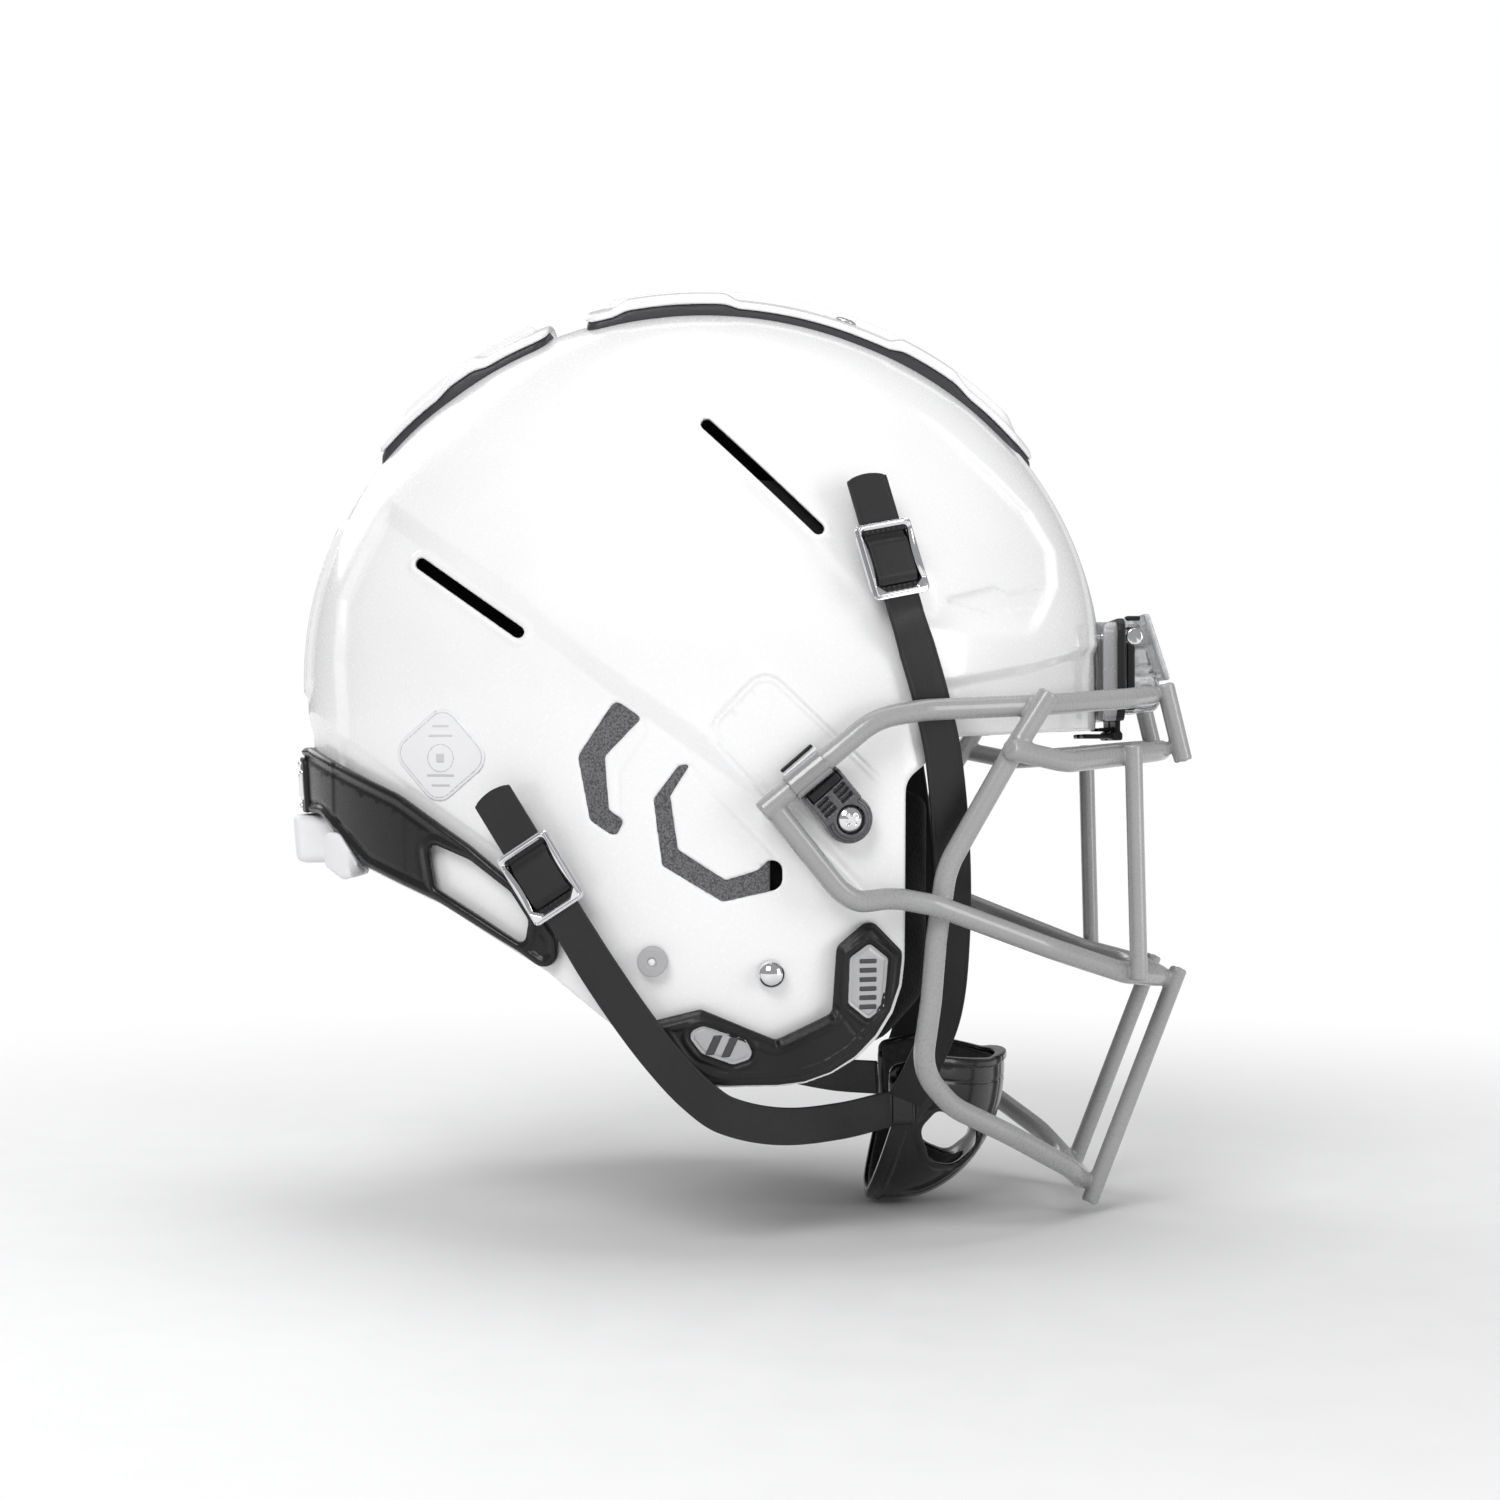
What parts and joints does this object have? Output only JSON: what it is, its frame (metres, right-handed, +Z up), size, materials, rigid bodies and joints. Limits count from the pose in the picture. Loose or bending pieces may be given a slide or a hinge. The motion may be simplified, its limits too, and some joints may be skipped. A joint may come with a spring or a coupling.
{
  "type": "american football helmet",
  "caption": "Hard-shell football helmet with floating crown plates, padded liner, swing-up wire face mask and a chin cup held by snap buckles.",
  "frame": {"origin": "centre of the head form that the shell fits around", "axes": "+X forward through the face opening, +Y to the wearer's left, +Z up through the crown"},
  "size_m": [0.3237, 0.2566, 0.3306],
  "materials": {
    "shell_white": "gloss white moulded polycarbonate",
    "plate_white": "gloss white moulded polycarbonate",
    "black_tpu": "satin black elastomer",
    "steel": "zinc plated steel",
    "black_plastic": "satin black moulded plastic",
    "badge_chrome": "bright plate",
    "white_rubber": "matt white elastomer",
    "badge_grey": "blank satin grey inlay",
    "label_white": "blank printed film",
    "chrome": "polished chrome plate",
    "rivet_grey": "matt grey moulded cap",
    "pad_fabric": "black knit over foam",
    "grey_foam": "grey expanded bead foam",
    "clear_plastic": "clear moulded polycarbonate",
    "smoked_plastic": "smoked translucent elastomer",
    "coated_wire": "grey powder coated steel wire",
    "buckle_chrome": "polished cast buckle",
    "strap_black": "black coated webbing",
    "cup_black": "gloss black moulded cup",
    "liner_black": "black foam liner"
  },
  "bodies": {
    "shell": {"shell": "shell_white", "front_crown_cushion": "black_tpu", "rear_crown_cushion": "black_tpu", "plate_screws": "steel", "rear_band": "black_plastic", "rear_badge": "badge_chrome", "nape_blocks": "white_rubber", "right_jaw_guard": "black_plastic", "left_jaw_guard": "black_plastic", "jaw_badges": "badge_grey", "side_labels": "label_white", "snap_studs": "chrome", "pad_rivets": "rivet_grey", "crown_pad": "pad_fabric", "right_side_pad": "pad_fabric", "left_side_pad": "pad_fabric", "front_pad": "pad_fabric", "back_pad": "pad_fabric", "nape_pad": "pad_fabric", "right_jaw_pad": "pad_fabric", "left_jaw_pad": "pad_fabric", "ear_foam": "grey_foam", "bumper_base": "clear_plastic", "bumper_plate": "black_plastic", "front_clips": "clear_plastic", "front_screws": "steel", "bumper_cover": "clear_plastic", "shell_nuts": "steel", "right_upper_strap": "strap_black", "left_upper_strap": "strap_black", "right_lower_strap": "strap_black", "left_lower_strap": "strap_black"},
    "front_plate": {"front_crown_plate": "plate_white"},
    "rear_plate": {"rear_crown_plate": "plate_white"},
    "face_mask": {"upper_bar": "coated_wire", "brow_bar": "coated_wire", "middle_bar": "coated_wire", "cage_bar": "coated_wire", "brow_uprights": "coated_wire", "eye_uprights": "coated_wire", "chin_uprights": "coated_wire", "clip_wraps": "clear_plastic", "right_side_clip": "smoked_plastic", "left_side_clip": "smoked_plastic"},
    "chin_cup": {"chin_cup": "cup_black", "chin_cup_liner": "liner_black"},
    "right_clip_screw": {"right_clip_screw": "chrome"},
    "right_upper_buckle": {"right_upper_buckle": "buckle_chrome", "right_upper_buckle_base": "black_plastic", "right_upper_strap_tail": "strap_black"},
    "right_lower_buckle": {"right_lower_buckle": "buckle_chrome", "right_lower_buckle_base": "black_plastic", "right_lower_strap_tail": "strap_black"},
    "left_clip_screw": {"left_clip_screw": "chrome"},
    "left_upper_buckle": {"left_upper_buckle": "buckle_chrome", "left_upper_buckle_base": "black_plastic", "left_upper_strap_tail": "strap_black"},
    "left_lower_buckle": {"left_lower_buckle": "buckle_chrome", "left_lower_buckle_base": "black_plastic", "left_lower_strap_tail": "strap_black"}
  },
  "joints": [
    {"name": "mask_swing", "type": "hinge", "parent": "shell", "child": "face_mask", "pos_m": [0.16, 0, -0.0065], "axis": [0, -1, 0], "range_deg": [0, 75]},
    {"name": "front_plate_press", "type": "slide", "parent": "shell", "child": "front_plate", "axis": [-0.28, 0, -0.96], "range_m": [0, 0.001], "stiffness_N_per_m": 2000, "springref_m": -0.001},
    {"name": "rear_plate_press", "type": "slide", "parent": "shell", "child": "rear_plate", "axis": [0.5931, 0, -0.8051], "range_m": [0, 0.001], "stiffness_N_per_m": 1500, "springref_m": -0.001},
    {"name": "chin_cup_rock", "type": "hinge", "parent": "shell", "child": "chin_cup", "pos_m": [0.07, 0, -0.15], "axis": [0, -1, 0], "range_deg": [-6, 10]},
    {"name": "right_clip_screw_turn", "type": "hinge", "parent": "face_mask", "child": "right_clip_screw", "pos_m": [0.0481, -0.11175, -0.0482], "axis": [0.2823, -0.9576, -0.0581], "range_deg": [0, 90]},
    {"name": "right_upper_unsnap", "type": "slide", "parent": "shell", "child": "right_upper_buckle", "axis": [0.3597, -0.9021, 0.2382], "range_m": [0, 0.006]},
    {"name": "right_lower_unsnap", "type": "slide", "parent": "shell", "child": "right_lower_buckle", "axis": [-0.2906, -0.9534, -0.0815], "range_m": [0, 0.006]},
    {"name": "left_clip_screw_turn", "type": "hinge", "parent": "face_mask", "child": "left_clip_screw", "pos_m": [0.0481, 0.11175, -0.0482], "axis": [0.2823, 0.9576, -0.0581], "range_deg": [0, 90]},
    {"name": "left_upper_unsnap", "type": "slide", "parent": "shell", "child": "left_upper_buckle", "axis": [0.3597, 0.9021, 0.2382], "range_m": [0, 0.006]},
    {"name": "left_lower_unsnap", "type": "slide", "parent": "shell", "child": "left_lower_buckle", "axis": [-0.2906, 0.9534, -0.0815], "range_m": [0, 0.006]}
  ]
}
